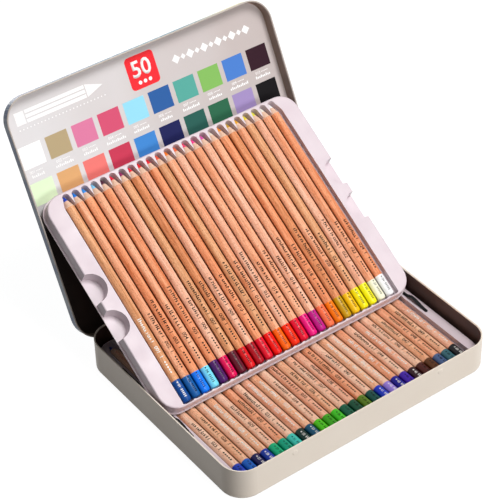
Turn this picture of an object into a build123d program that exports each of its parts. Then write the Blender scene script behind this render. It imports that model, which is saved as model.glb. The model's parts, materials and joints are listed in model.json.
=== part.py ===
from build123d import *
import math
import os

os.makedirs("parts", exist_ok=True)

# A hinged tinplate box for fifty round colour pencils, all sizes in millimetres.
# The origin is on the surface the box stands on, under the middle of its base.
# X runs to the right along the front edge, Y to the back and Z up.
# The lid stands open, and the upper tray is propped with its front edge on the
# lower pencils and its back edge against the inside of the lid.

# Base tin
base_width = 232.5
base_depth = 187.5
base_height = 26.5
base_corner = 17.5
sheet = 0.35
base_curl_radius = 0.6
curl_roundness = 0.96
base_foot_radius = 1.2
snap_spacing = 132.0
snap_height = 21.0
snap_radius = 2.4
snap_proud = 0.25
snap_slope = 0.7

# Lid tin
lid_height = 9.8
lid_gap = 0.4
lid_curl_radius = 0.6
lid_edge_radius = 1.5
lid_open_angle = 116.3

# Hinges: a wire through curled ears of the base and a curled tab of the lid
hinge_spacing = 130.0
hinge_axis_height = 17.4
wire_radius = 0.8
wire_head_radius = 1.1
wire_head_length = 0.6
wire_head_gap = 0.1
head_room_gap = 0.3
ear_fit = 0.02
tab_fit = 0.05
knuckle_wall = 0.35
tab_width = 16.0
tab_side_gap = 0.3
ear_width = 4.0
window_gap = 0.7
lid_rim_rise = 1.6

# Pencils
pencil_length = 176.7
pencil_gap = 0.3
core_radius = 1.9
glue_gap = 0.03
cone_length = 9.5
tip_radius = 0.5
butt_rounding = 2.2
butt_wall = 1.0

# Trays, formed from thin sheet
tray_sheet = 0.7
upper_skirt = 9.75
lower_skirt = 11.55
tray_lip = 1.6
tray_rim_gap = 0.3
tray_floor_gap = 0.1
tray_draft = 3.0
tray_edge_radius = 1.2
upper_flange = 13.85
lower_flange = 8.45
row_end_gap = 1.7
groove_clearance = 0.3
axis_depth = 4.75
butt_setback = 2.4
butt_clearance = 0.6
scallop_depth = 1.0
pocket_clearance = 0.5
pocket_end_radius = 2.9

# Finger wells in the side flanges of the upper tray
well_top_radius = 11.6
well_floor_radius = 10.6
well_reach = 11.4
well_places = (75.6, 106.6)

# Where the propped tray stands
prop_contact_y = -4.8
contact_gap = 0.3

# Lift straps of the lower tray, arched in front of the propped tray and flat under it
strap_width = 2.5
strap_thickness = 0.6
strap_length = 90.0
strap_front_y = -31.0
strap_foot_length = 1.4
strap_rise = 2.4
strap_peak_gap = 9.2
strap_lip_gap = 0.2
strap_edge_gap = 3.85
strap_leg_length = 4.0
strap_leg_drop = 3.5
strap_slot_gap = 0.2
strap_slot_depth = 1.4
strap_corner = 1.0

# The pencils by colour, from left to right
upper_colours = (
    "dark_blue", "teal_blue", "bright_blue", "sky", "dark_purple", "crimson",
    "maroon", "scarlet", "dark_red", "pink_red", "red", "orange",
    "orange_red", "rose_red", "hot_pink", "magenta", "peach", "bright_orange",
    "ochre", "golden_yellow", "yellow", "lemon", "cream", "white",
)
lower_colours = (
    "blue", "mid_blue", "navy", "royal_blue", "emerald", "teal_green",
    "turquoise", "deep_green", "deep_teal", "lime", "leaf_green", "grass_green",
    "forest_green", "moss_green", "olive", "dark_teal", "ultramarine", "lilac",
    "indigo", "purple", "umber", "red_brown", "brown", "blue_grey",
    "teal_grey", "black",
)

upper_count = len(upper_colours)
lower_count = len(lower_colours)

# Sizes worked out from the ones above
lid_width = base_width + 2 * (lid_gap + sheet)
lid_depth = base_depth + 2 * (lid_gap + sheet)
lid_corner = base_corner + lid_gap + sheet
tray_width = base_width - 2 * (2 * base_curl_radius + tray_rim_gap + tray_lip)
tray_depth = base_depth - 2 * (2 * base_curl_radius + tray_rim_gap + tray_lip)
tray_corner = base_corner - 2 * base_curl_radius - tray_rim_gap - tray_lip
upper_room = tray_width - 2 * upper_flange
lower_room = tray_width - 2 * lower_flange
# The longer row fills the room in the lower tray, and so sets the pencils' diameter
lower_pitch = (lower_room - 2 * row_end_gap + pencil_gap) / lower_count
barrel_radius = (lower_pitch - pencil_gap) / 2
upper_pitch = (upper_room - 2 * row_end_gap - 2 * barrel_radius) / (upper_count - 1)
groove_radius = barrel_radius + groove_clearance
knuckle_inner = wire_radius + tab_fit
knuckle_outer = knuckle_inner + knuckle_wall
hinge_y = base_depth / 2 - sheet / 2
lid_rim_offset = base_depth / 2 + lid_gap + sheet - hinge_y
window_half_height = knuckle_outer + window_gap
window_width = tab_width + 2 * tab_side_gap
knuckle_width = window_width + 2 * ear_width
head_room_length = wire_head_gap + wire_head_length + head_room_gap
head_room_half_height = wire_head_radius + head_room_gap
tab_rise = lid_rim_rise + lid_curl_radius
cone_start = pencil_length - cone_length
snap_top_radius = snap_radius - snap_slope
snap_taper = math.degrees(math.atan2(snap_slope, snap_proud))
snap_rise = snap_height - hinge_axis_height - lid_rim_rise
standing = (Align.CENTER, Align.CENTER, Align.MIN)

# Directions in the side view, as the lid stands open
open_turn = math.radians(lid_open_angle)
lid_outward = Vector(0, math.sin(open_turn), math.cos(open_turn))
rim_from_axis = Vector(
    0,
    math.sin(open_turn) * lid_rim_rise + math.cos(open_turn) * lid_rim_offset,
    math.cos(open_turn) * lid_rim_rise - math.sin(open_turn) * lid_rim_offset,
)
hinge_axis_point = Vector(0, hinge_y, hinge_axis_height)
# Local y runs from the free edge of the lid to its hinge, local z to its outside
lid_plane = Plane(origin=hinge_axis_point + rim_from_axis, x_dir=(1, 0, 0), z_dir=lid_outward)

# Plane of a tray's top face: origin in the middle of its front edge, y to its back
lower_top = sheet + tray_floor_gap + lower_skirt
lower_plane = Plane(origin=(0, -tray_depth / 2, lower_top), x_dir=(1, 0, 0), z_dir=(0, 0, 1))

# The propped tray: the corners of its front lip stand on the lower tray's side flanges
# and its back lip leans on the panel
corner_inset = max(0.0, lower_room / 2 - (tray_width / 2 - tray_corner))
lip_corner = tray_corner + tray_lip
corner_step = lip_corner - math.sqrt(lip_corner ** 2 - corner_inset ** 2)
contact_point = Vector(0, prop_contact_y, lower_top + contact_gap)
panel_point = lid_plane.origin + lid_outward * (lid_height - sheet)
lean_reach = (panel_point - contact_point).dot(lid_outward) - contact_gap
contact_to_lip = tray_depth + 2 * tray_lip - corner_step
prop_tilt = 180.0 - lid_open_angle - math.degrees(math.asin(lean_reach / contact_to_lip))
tilt_turn = math.radians(prop_tilt)
tray_back = Vector(0, math.cos(tilt_turn), math.sin(tilt_turn))
tray_up = Vector(0, -math.sin(tilt_turn), math.cos(tilt_turn))
upper_plane = Plane(
    origin=contact_point + tray_back * (tray_lip - corner_step) + tray_up * upper_skirt,
    x_dir=(1, 0, 0),
    z_dir=tray_up,
)
lid_axis = Axis(lid_plane.origin, lid_plane.z_dir)


def save(piece, label):
    """Label a finished piece and write it as its own node."""
    piece.label = label
    export_step(piece, "parts/" + label + ".step")


def plane_at(plane, x, y, z):
    """A plane turned like the given one, with its origin at a local point of it."""
    return Plane(origin=plane.from_local_coords((x, y, z)), x_dir=plane.x_dir, z_dir=plane.z_dir)


def side_plane(plane, x, y, z):
    """A plane across local y, its own y along the given plane's normal."""
    origin = plane.from_local_coords((x, y, z))
    return Plane(origin=origin, x_dir=plane.x_dir, z_dir=-plane.y_dir)


def end_plane(plane, x, y, z):
    """A plane across local x, its own x along local y and its own y along the normal."""
    origin = plane.from_local_coords((x, y, z))
    return Plane(origin=origin, x_dir=plane.y_dir, z_dir=plane.x_dir)


# Base tin: a drawn pan with its rim curled inwards and two windowed hinge knuckles
with BuildPart() as base_hollow:
    with BuildSketch(Plane.XY.offset(sheet)):
        RectangleRounded(base_width - 2 * sheet, base_depth - 2 * sheet, base_corner - sheet)
    extrude(amount=base_height)
    fillet(base_hollow.faces().sort_by(Axis.Z)[0].edges(), base_foot_radius - sheet)

with BuildPart() as base_curl:
    with BuildSketch(Plane.XY.offset(base_height - 2 * base_curl_radius)):
        RectangleRounded(base_width, base_depth, base_corner)
        RectangleRounded(
            base_width - 4 * base_curl_radius,
            base_depth - 4 * base_curl_radius,
            base_corner - 2 * base_curl_radius,
            mode=Mode.SUBTRACT,
        )
    extrude(amount=2 * base_curl_radius)
    fillet(base_curl.faces().filter_by(Axis.Z).edges(), base_curl_radius * curl_roundness)

hinge_centres = [(side * hinge_spacing / 2, hinge_y, hinge_axis_height) for side in (-1, 1)]
head_centres = [
    (x + end * (knuckle_width + head_room_length) / 2, y, z)
    for x, y, z in hinge_centres for end in (-1, 1)
]
snap_centres = [(side * snap_spacing / 2, -base_depth / 2, snap_height) for side in (-1, 1)]
with BuildPart() as base_tin:
    with BuildSketch():
        RectangleRounded(base_width, base_depth, base_corner)
    extrude(amount=base_height)
    fillet(base_tin.faces().sort_by(Axis.Z)[0].edges(), base_foot_radius)
    add(base_hollow.part, mode=Mode.SUBTRACT)
    with Locations(*snap_centres):
        Cone(snap_radius, snap_top_radius, snap_proud, rotation=(90, 0, 0), align=standing)
    add(base_curl.part)
    # Ears: the wall is curled round the wire at both sides of each window
    with Locations(*hinge_centres):
        Cylinder(knuckle_outer, knuckle_width, rotation=(0, 90, 0))
        Cylinder(wire_radius + ear_fit, knuckle_width, rotation=(0, 90, 0), mode=Mode.SUBTRACT)
        Box(window_width, 2 * knuckle_outer + sheet, 2 * window_half_height, mode=Mode.SUBTRACT)
    with Locations(*head_centres):
        Box(head_room_length, 2 * knuckle_outer + sheet, 2 * head_room_half_height, mode=Mode.SUBTRACT)
save(base_tin.part, "base_tin")

# Hinge wires, headed at both ends so that they stay in the ears
for side, side_name in ((-1, "left"), (1, "right")):
    with BuildPart() as hinge_pin:
        with Locations((side * hinge_spacing / 2, hinge_y, hinge_axis_height)):
            Cylinder(wire_radius, knuckle_width + 2 * wire_head_gap, rotation=(0, 90, 0))
        for end in (-1, 1):
            head_x = side * hinge_spacing / 2 + end * (knuckle_width / 2 + wire_head_gap)
            with Locations((head_x + end * wire_head_length / 2, hinge_y, hinge_axis_height)):
                Cylinder(wire_head_radius, wire_head_length, rotation=(0, 90, 0))
    save(hinge_pin.part, "hinge_pin_" + side_name)

# Lid tin: a shallow pan, its rim curled outwards, with a curled tab at each hinge
with BuildPart() as lid_hollow:
    with BuildSketch(plane_at(lid_plane, 0, -lid_depth / 2, 0)):
        RectangleRounded(lid_width - 2 * sheet, lid_depth - 2 * sheet, lid_corner - sheet)
    extrude(amount=lid_height - sheet)
    fillet(lid_hollow.faces().sort_by(lid_axis)[-1].edges(), lid_edge_radius - sheet)

with BuildPart() as lid_curl:
    with BuildSketch(plane_at(lid_plane, 0, -lid_depth / 2, 0)):
        RectangleRounded(
            lid_width - 2 * sheet + 4 * lid_curl_radius,
            lid_depth - 2 * sheet + 4 * lid_curl_radius,
            lid_corner - sheet + 2 * lid_curl_radius,
        )
        RectangleRounded(
            lid_width - 2 * sheet, lid_depth - 2 * sheet, lid_corner - sheet, mode=Mode.SUBTRACT
        )
    extrude(amount=2 * lid_curl_radius)
    curl_ends = lid_curl.faces().sort_by(lid_axis)
    fillet(curl_ends[0].edges() + curl_ends[-1].edges(), lid_curl_radius * curl_roundness)

with BuildPart() as lid_tin:
    with BuildSketch(plane_at(lid_plane, 0, -lid_depth / 2, lid_curl_radius)):
        RectangleRounded(lid_width, lid_depth, lid_corner)
    extrude(amount=lid_height - lid_curl_radius)
    fillet(lid_tin.faces().sort_by(lid_axis)[-1].edges(), lid_edge_radius)
    add(lid_hollow.part, mode=Mode.SUBTRACT)
    add(lid_curl.part)
    for side in (-1, 1):
        hinge_x = side * hinge_spacing / 2
        with BuildSketch(end_plane(lid_plane, hinge_x - tab_width / 2, -lid_rim_offset, -lid_rim_rise)):
            Circle(knuckle_outer)
            with Locations((knuckle_outer - knuckle_wall / 2, tab_rise / 2)):
                Rectangle(knuckle_wall, tab_rise)
            Circle(knuckle_inner, mode=Mode.SUBTRACT)
        extrude(amount=tab_width)
        # Snap dimple, pressed outwards in the front skirt
        with BuildSketch(side_plane(lid_plane, side * snap_spacing / 2, -lid_depth, snap_rise)):
            Circle(snap_radius)
        extrude(amount=snap_proud, taper=snap_taper)
        with BuildSketch(side_plane(lid_plane, side * snap_spacing / 2, -lid_depth + sheet, snap_rise)):
            Circle(snap_radius)
        extrude(amount=snap_proud, taper=snap_taper, mode=Mode.SUBTRACT)
save(lid_tin.part, "lid_tin")


def row_places(count, pitch):
    """Where the axes of a row of pencils lie across a tray."""
    return [(number - (count - 1) / 2) * pitch for number in range(count)]


def pencil_space(plane, room, count, pitch):
    """The room for a row of pencils in a tray: grooves, a scalloped front and tip pockets."""
    middles = row_places(count, pitch)
    half_width = room / 2
    front = butt_setback - butt_clearance - scallop_depth
    straight = front + scallop_depth
    cone_place = butt_setback + cone_start
    end_centre = butt_setback + pencil_length + pocket_clearance - pocket_end_radius
    with BuildPart() as space:
        with BuildSketch(plane):
            with BuildLine():
                for x in middles:
                    left = -half_width if x == middles[0] else x - pitch / 2
                    right = half_width if x == middles[-1] else x + pitch / 2
                    ThreePointArc((left, straight), (x, front), (right, straight))
                Polyline(
                    (half_width, straight), (half_width, cone_place),
                    (-half_width, cone_place), (-half_width, straight),
                )
            make_face()
            for x in middles:
                left = -half_width if x == middles[0] else x - groove_radius
                right = half_width if x == middles[-1] else x + groove_radius
                with BuildLine():
                    Polyline(
                        (left, cone_place), (right, cone_place),
                        (x + pocket_end_radius, end_centre), (x - pocket_end_radius, end_centre),
                        close=True,
                    )
                make_face()
                with Locations((x, end_centre)):
                    Circle(pocket_end_radius)
        extrude(amount=-axis_depth)
        with BuildSketch(side_plane(plane, 0, cone_place, -axis_depth)):
            with Locations(*[(x, 0) for x in middles]):
                Circle(groove_radius)
        extrude(amount=cone_place - straight)
        with Locations(*[side_plane(plane, x, cone_place, -axis_depth) for x in middles]):
            Cone(
                groove_radius, pocket_end_radius, end_centre - cone_place,
                rotation=(180, 0, 0), align=standing,
            )
        with Locations(*[side_plane(plane, x, end_centre, -axis_depth) for x in middles]):
            Sphere(pocket_end_radius)
    return space.part


def pencil_bed(plane, room, count, pitch):
    """The ribbed block that the room for the pencils is sunk in, seen from under the tray."""
    middles = row_places(count, pitch)
    half_width = room / 2 + tray_sheet
    bed_depth = axis_depth + groove_radius + tray_sheet
    front = butt_setback - butt_clearance - scallop_depth - tray_sheet
    back = butt_setback + pencil_length + pocket_clearance + tray_sheet
    with BuildPart() as bed:
        with BuildSketch(side_plane(plane, 0, back, 0)):
            with Locations(*[(x, -axis_depth) for x in middles]):
                Circle(groove_radius + tray_sheet)
            with Locations((0, -(axis_depth + tray_sheet) / 2)):
                Rectangle(2 * half_width, axis_depth + tray_sheet)
            with Locations((0, -bed_depth / 2)):
                Rectangle(2 * half_width, bed_depth, mode=Mode.INTERSECT)
        extrude(amount=back - front)
    return bed.part


def make_tray(plane, skirt, room, count, pitch, wells):
    """A thermoformed tray with its top face on the plane, and finger wells where asked."""
    with BuildPart() as well_room:
        for place in wells:
            for side in (-1, 1):
                well_x = side * (tray_width / 2 - well_reach + well_top_radius)
                with Locations(plane_at(plane, well_x, place, tray_sheet - skirt)):
                    Cone(well_floor_radius, well_top_radius, skirt, align=standing)
    with BuildPart() as well_wall:
        for place in wells:
            for side in (-1, 1):
                well_x = side * (tray_width / 2 - well_reach + well_top_radius)
                with Locations(plane_at(plane, well_x, place, -skirt)):
                    Cone(
                        well_floor_radius + tray_sheet, well_top_radius + tray_sheet,
                        skirt, align=standing,
                    )
    with BuildPart() as underside:
        with BuildSketch(plane_at(plane, 0, tray_depth / 2, -tray_sheet)):
            RectangleRounded(
                tray_width - 2 * tray_sheet, tray_depth - 2 * tray_sheet, tray_corner - tray_sheet
            )
        extrude(amount=tray_sheet - skirt, taper=-tray_draft)
        add(pencil_bed(plane, room, count, pitch), mode=Mode.SUBTRACT)
        if wells:
            add(well_wall.part, mode=Mode.SUBTRACT)
    with BuildPart() as tray:
        with BuildSketch(plane_at(plane, 0, tray_depth / 2, 0)):
            RectangleRounded(tray_width, tray_depth, tray_corner)
        extrude(amount=-skirt, taper=-tray_draft)
        top_face = tray.faces().sort_by(Axis(plane.origin, plane.z_dir))[-1]
        fillet(top_face.edges(), tray_edge_radius)
        with BuildSketch(plane_at(plane, 0, tray_depth / 2, -skirt)):
            RectangleRounded(
                tray_width + 2 * tray_lip, tray_depth + 2 * tray_lip, tray_corner + tray_lip
            )
        extrude(amount=tray_sheet)
        add(underside.part, mode=Mode.SUBTRACT)
        add(pencil_space(plane, room, count, pitch), mode=Mode.SUBTRACT)
        if wells:
            add(well_room.part, mode=Mode.SUBTRACT)
    return tray.part


upper_tray = make_tray(
    upper_plane, upper_skirt, upper_room, upper_count, upper_pitch, well_places
)
save(upper_tray, "upper_tray")

# Lower tray, with a slot in each flange for the end of a lift strap
strap_x = tray_width / 2 - strap_edge_gap - strap_width / 2
strap_back_y = strap_front_y + strap_length
strap_foot_y = strap_front_y + strap_foot_length
strap_peak_y = prop_contact_y - strap_peak_gap
strap_flat_y = prop_contact_y - strap_lip_gap
strap_leg_y = strap_back_y - strap_leg_length
strap_top = lower_top + strap_thickness
with BuildPart() as lower_tray:
    add(make_tray(lower_plane, lower_skirt, lower_room, lower_count, lower_pitch, ()))
    with Locations(*[(x, strap_back_y - strap_leg_length / 2, lower_top) for x in (-strap_x, strap_x)]):
        Box(
            strap_width + 2 * strap_slot_gap, strap_leg_length + 2 * strap_slot_gap,
            2 * strap_slot_depth, mode=Mode.SUBTRACT,
        )
save(lower_tray.part, "lower_tray")

# Lift straps, each an arched ribbon with its back end in the slot
for side, side_name in ((-1, "left"), (1, "right")):
    with BuildPart() as lift_strap:
        with BuildSketch(Plane.YZ.offset(side * strap_x - strap_width / 2)):
            with BuildLine():
                for level in (lower_top, strap_top):
                    foot = (strap_foot_y, level)
                    peak = (strap_peak_y, level + strap_rise)
                    flat = (strap_flat_y, level)
                    Line((strap_front_y, level), foot)
                    Spline(foot, peak, tangents=((1, 0), (1, 0)))
                    Spline(peak, flat, tangents=((1, 0), (1, 0)))
                Line((strap_front_y, lower_top), (strap_front_y, strap_top))
                Polyline(
                    (strap_flat_y, lower_top), (strap_leg_y, lower_top),
                    (strap_leg_y, lower_top - strap_leg_drop), (strap_back_y, lower_top - strap_leg_drop),
                    (strap_back_y, strap_top), (strap_flat_y, strap_top),
                )
            make_face()
        extrude(amount=strap_width)
        fillet(lift_strap.edges().filter_by(Axis.Z).group_by(Axis.Y)[0], strap_corner)
    save(lift_strap.part, "lift_strap_" + side_name)


def make_pencil(plane):
    """A round pencil: a wooden barrel sharpened to a cone, and the pigment core glued in it.

    The plane's origin is in the middle of the butt and its normal runs to the tip.
    """
    slope = (barrel_radius - tip_radius) / cone_length
    bore_radius = core_radius + glue_gap
    mouth_place = pencil_length - (bore_radius - tip_radius) / slope
    bare_place = pencil_length - (core_radius - tip_radius) / slope
    with BuildPart() as barrel:
        with BuildSketch(side_plane(plane, 0, 0, 0)):
            with BuildLine():
                Line((0, 0), (barrel_radius - butt_rounding, 0))
                RadiusArc((barrel_radius - butt_rounding, 0), (barrel_radius, butt_rounding), -butt_rounding)
                Line((barrel_radius, butt_rounding), (barrel_radius, cone_start))
                Polyline(
                    (barrel_radius, cone_start), (bore_radius, mouth_place),
                    (bore_radius, butt_wall), (0, butt_wall), (0, 0),
                )
            make_face()
        revolve(axis=Axis(plane.origin, plane.z_dir))
    with BuildPart() as core:
        with BuildSketch(side_plane(plane, 0, 0, 0)):
            with BuildLine():
                Polyline(
                    (0, butt_wall + glue_gap), (core_radius, butt_wall + glue_gap),
                    (core_radius, bare_place), (tip_radius, pencil_length), (0, pencil_length),
                    close=True,
                )
            make_face()
        revolve(axis=Axis(plane.origin, plane.z_dir))
    return Compound(children=[barrel.part, core.part])


for row_name, row_plane, pitch, colours in (
    ("upper", upper_plane, upper_pitch, upper_colours),
    ("lower", lower_plane, lower_pitch, lower_colours),
):
    for number, colour in enumerate(colours):
        pencil_x = row_places(len(colours), pitch)[number]
        butt_point = row_plane.from_local_coords((pencil_x, butt_setback, -axis_depth))
        pencil_plane = Plane(origin=butt_point, x_dir=row_plane.x_dir, z_dir=row_plane.y_dir)
        save(make_pencil(pencil_plane), f"pencil_{row_name}_{number + 1:02d}_{colour}")
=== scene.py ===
"""A hinged tin for fifty colour pencils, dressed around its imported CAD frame.

The lid stands open, a lower tray of pencils lies in the base, and an upper tray
is propped between the lower tray's flanges and the lid. Lengths are metres.
"""

import json
import logging
import math
import random
from dataclasses import dataclass, field
from enum import Enum, IntEnum
from typing import Any

import bmesh
import bpy
from bmesh.types import BMesh, BMVert
from bpy.types import Material, Mesh, Node, NodeSocket, NodeTree, Object
from mathutils import Matrix, Vector

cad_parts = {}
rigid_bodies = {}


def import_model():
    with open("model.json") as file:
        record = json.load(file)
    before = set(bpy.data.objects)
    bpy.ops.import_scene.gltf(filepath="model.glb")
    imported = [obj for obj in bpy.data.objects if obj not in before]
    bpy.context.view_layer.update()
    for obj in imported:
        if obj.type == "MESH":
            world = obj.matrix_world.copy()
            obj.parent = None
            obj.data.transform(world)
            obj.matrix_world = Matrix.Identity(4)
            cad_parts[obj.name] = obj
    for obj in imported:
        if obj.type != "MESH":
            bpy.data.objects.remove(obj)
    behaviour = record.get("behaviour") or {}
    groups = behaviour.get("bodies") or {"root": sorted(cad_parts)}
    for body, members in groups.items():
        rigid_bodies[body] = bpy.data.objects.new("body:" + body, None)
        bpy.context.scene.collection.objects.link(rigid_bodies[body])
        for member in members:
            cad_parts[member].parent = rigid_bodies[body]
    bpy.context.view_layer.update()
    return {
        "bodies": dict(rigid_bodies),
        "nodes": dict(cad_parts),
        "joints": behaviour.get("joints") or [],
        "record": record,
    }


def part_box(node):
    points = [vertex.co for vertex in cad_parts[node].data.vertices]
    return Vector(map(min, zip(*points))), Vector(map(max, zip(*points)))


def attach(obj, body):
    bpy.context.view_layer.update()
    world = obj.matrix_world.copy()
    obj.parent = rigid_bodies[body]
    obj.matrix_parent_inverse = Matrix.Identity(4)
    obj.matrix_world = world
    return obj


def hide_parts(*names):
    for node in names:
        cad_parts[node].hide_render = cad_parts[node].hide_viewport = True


MM = 0.001
RIGHT = Vector((1.0, 0.0, 0.0))
# The attribute that is 1 where a barrel lies against the next one, where painted shade darkens it
GAP_SHADE = "gap_shade"
# A node's colour output, where its first output is another one
MIXED = 2
# The values between which nearly all of a noise lies
NOISE_LOW = 0.3
NOISE_HIGH = 0.7

log = logging.getLogger("pencil_tin")


class Wood(Enum):
    """Shades of the barrels' wood, each a pale and a dark sRGB colour."""

    PEACH = ("#FFBE98", "#DE8658")
    PINK = ("#FFCBAE", "#E69A76")
    ORANGE = ("#FFAE80", "#D47444")
    TAN = ("#F6B88A", "#C68252")
    BROWN = ("#F6A674", "#BE6C3C")
    PALE = ("#FFDCC2", "#F4B08A")
    SAND = ("#FFD0AC", "#EAA074")


class Band(IntEnum):
    """The material slots of a pencil."""

    BARREL = 0
    CAP = 1
    CONE = 2
    LEAD = 3
    PRINT = 4


# Each upper pencil's dip paint, its lead and the shade of its wood
UPPER_PENCILS = {
    "dark_blue": ("#0C4C9A", "#1848C0", Wood.TAN),
    "teal_blue": ("#0A5EA8", "#1884EC", Wood.PEACH),
    "bright_blue": ("#1080FF", "#2C9CF8", Wood.ORANGE),
    "sky": ("#7CE4FF", "#84D8FF", Wood.PEACH),
    "dark_purple": ("#4C1064", "#581A3A", Wood.ORANGE),
    "crimson": ("#E80058", "#F01840", Wood.PINK),
    "maroon": ("#620020", "#A02468", Wood.TAN),
    "scarlet": ("#E40C18", "#F81430", Wood.BROWN),
    "dark_red": ("#B4001A", "#F4081C", Wood.PINK),
    "pink_red": ("#EC0A2C", "#F81430", Wood.ORANGE),
    "red": ("#F80800", "#F85C3C", Wood.TAN),
    "orange": ("#FF6800", "#FF8010", Wood.PEACH),
    "orange_red": ("#FF2C00", "#FF6C34", Wood.PINK),
    "rose_red": ("#EC0030", "#FF4C78", Wood.PEACH),
    "hot_pink": ("#F00C80", "#FF3C98", Wood.PEACH),
    "magenta": ("#C40A88", "#E854B4", Wood.PINK),
    "peach": ("#FF7448", "#F4E8D0", Wood.PEACH),
    "bright_orange": ("#FF7E00", "#FA9A14", Wood.ORANGE),
    "ochre": ("#CC9E00", "#D0A414", Wood.BROWN),
    "golden_yellow": ("#FFC600", "#F4B414", Wood.PEACH),
    "yellow": ("#FFEE00", "#F8E820", Wood.TAN),
    "lemon": ("#FFF60C", "#F0F040", Wood.PINK),
    "cream": ("#FFFDE0", "#F8F8E8", Wood.PEACH),
    "white": ("#FFFFFF", "#FCFCFA", Wood.ORANGE),
}
# Each lower pencil's dip paint, which its lead shares, and the shade of its wood
LOWER_PENCILS = {
    "blue": ("#1C40B8", Wood.PALE),
    "mid_blue": ("#1460C0", Wood.SAND),
    "navy": ("#12144E", Wood.PALE),
    "royal_blue": ("#1238A4", Wood.SAND),
    "emerald": ("#08B47C", Wood.PALE),
    "teal_green": ("#04A480", Wood.PEACH),
    "turquoise": ("#40CCBC", Wood.PALE),
    "deep_green": ("#062E28", Wood.PINK),
    "deep_teal": ("#0A5070", Wood.SAND),
    "lime": ("#50CC14", Wood.PALE),
    "leaf_green": ("#3CA814", Wood.PINK),
    "grass_green": ("#44C824", Wood.SAND),
    "forest_green": ("#085E42", Wood.PALE),
    "moss_green": ("#0C4E34", Wood.PINK),
    "olive": ("#5C8018", Wood.PEACH),
    "dark_teal": ("#064E46", Wood.PALE),
    "ultramarine": ("#1434C0", Wood.SAND),
    "lilac": ("#9E84E0", Wood.PALE),
    "indigo": ("#1C1490", Wood.PEACH),
    "purple": ("#441CAC", Wood.PALE),
    "umber": ("#341620", Wood.PINK),
    "red_brown": ("#4C1812", Wood.PALE),
    "brown": ("#5E3414", Wood.SAND),
    "blue_grey": ("#4A628E", Wood.PEACH),
    "teal_grey": ("#3A6A74", Wood.SAND),
    "black": ("#16161A", Wood.PINK),
}
# The pencils whose marks are silver foil. The others' are black ink
SILVER_PRINTED = {
    "dark_blue", "navy", "royal_blue", "deep_green", "deep_teal", "ultramarine", "lilac", "indigo",
    "umber", "black",
}
# The inks of the colour samples on the lid, row after row from the left
CHART_INKS = {
    "white": "#FFFFFF", "khaki": "#B9A580", "pink": "#DE7EA4", "rose": "#D65676", "sky": "#98DDF4",
    "blue": "#3361A2", "jade": "#5AAA9E", "green": "#86BC62", "cornflower": "#4E80CE", "sepia": "#37202A",
    "mint": "#E4F8D0", "sand": "#DFAA74", "salmon": "#EE7C76", "ruby": "#C83E58", "azure": "#4488D0",
    "night": "#242758", "spruce": "#2E5F56", "fir": "#30684C", "lavender": "#A28EC0", "ebony": "#1A181A",
}

# Each lamp's place, the side of its square and its watts
LAMPS = {
    "key_lamp": ((0.42, -0.68, 1.86), 0.9, 31.5),
    "front_lamp": ((0.45, -1.6, 0.4), 0.7, 12.5),
    "back_lamp": ((0.3, 1.8, 0.25), 0.8, 12.0),
}


def linear(hex_colour: str) -> tuple[float, float, float, float]:
    """Turns an sRGB hex colour to linear light.

    Args:
        hex_colour: Six hex digits after a hash sign.

    Returns:
        Red, green, blue and an alpha of 1.
    """
    channels = []
    for start in (1, 3, 5):
        value = int(hex_colour[start:start + 2], 16) / 255
        channels.append(value / 12.92 if value <= 0.04045 else ((value + 0.055) / 1.055) ** 2.4)
    return (channels[0], channels[1], channels[2], 1.0)


def darker(hex_colour: str, share: float) -> tuple[float, float, float, float]:
    """Gives an sRGB colour as linear light, of which only a share is left."""
    red, green, blue, alpha = linear(hex_colour)
    return (red * share, green * share, blue * share, alpha)


def feed(node: Node, inputs: dict[str | int, Any]) -> None:
    """Sets or links a node's inputs.

    Args:
        node: The node.
        inputs: A value, an sRGB hex colour or an output socket for each named or numbered input.
    """
    for key, value in inputs.items():
        if isinstance(value, NodeSocket):
            node.id_data.links.new(value, node.inputs[key])
        else:
            node.inputs[key].default_value = linear(value) if isinstance(value, str) else value


def add_node(
    tree: NodeTree, kind: str, inputs: dict[str | int, Any], output: str | int = 0, **settings: Any
) -> NodeSocket:
    """Adds a node with its settings, values and links.

    Args:
        tree: The node tree that gets the node.
        kind: The node's type name, without the word ShaderNode before it.
        inputs: What feed() takes.
        output: The name or number of the output that is wanted.
        **settings: The node's own properties.

    Returns:
        That output.
    """
    node = tree.nodes.new("ShaderNode" + kind)
    for name, value in settings.items():
        setattr(node, name, value)
    feed(node, inputs)
    return node.outputs[output]


def new_material(name: str) -> tuple[Material, NodeTree, NodeSocket]:
    """Makes a material that has only a Principled shader and its output.

    Args:
        name: The material's name.

    Returns:
        The material, its node tree and the Object coordinates in it.
    """
    material = bpy.data.materials.new(name)
    material.use_nodes = True
    tree = material.node_tree
    tree.nodes.clear()
    shader = add_node(tree, "BsdfPrincipled", {})
    feed(tree.nodes.new("ShaderNodeOutputMaterial"), {"Surface": shader})
    return material, tree, add_node(tree, "TexCoord", {}, "Object")


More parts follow.
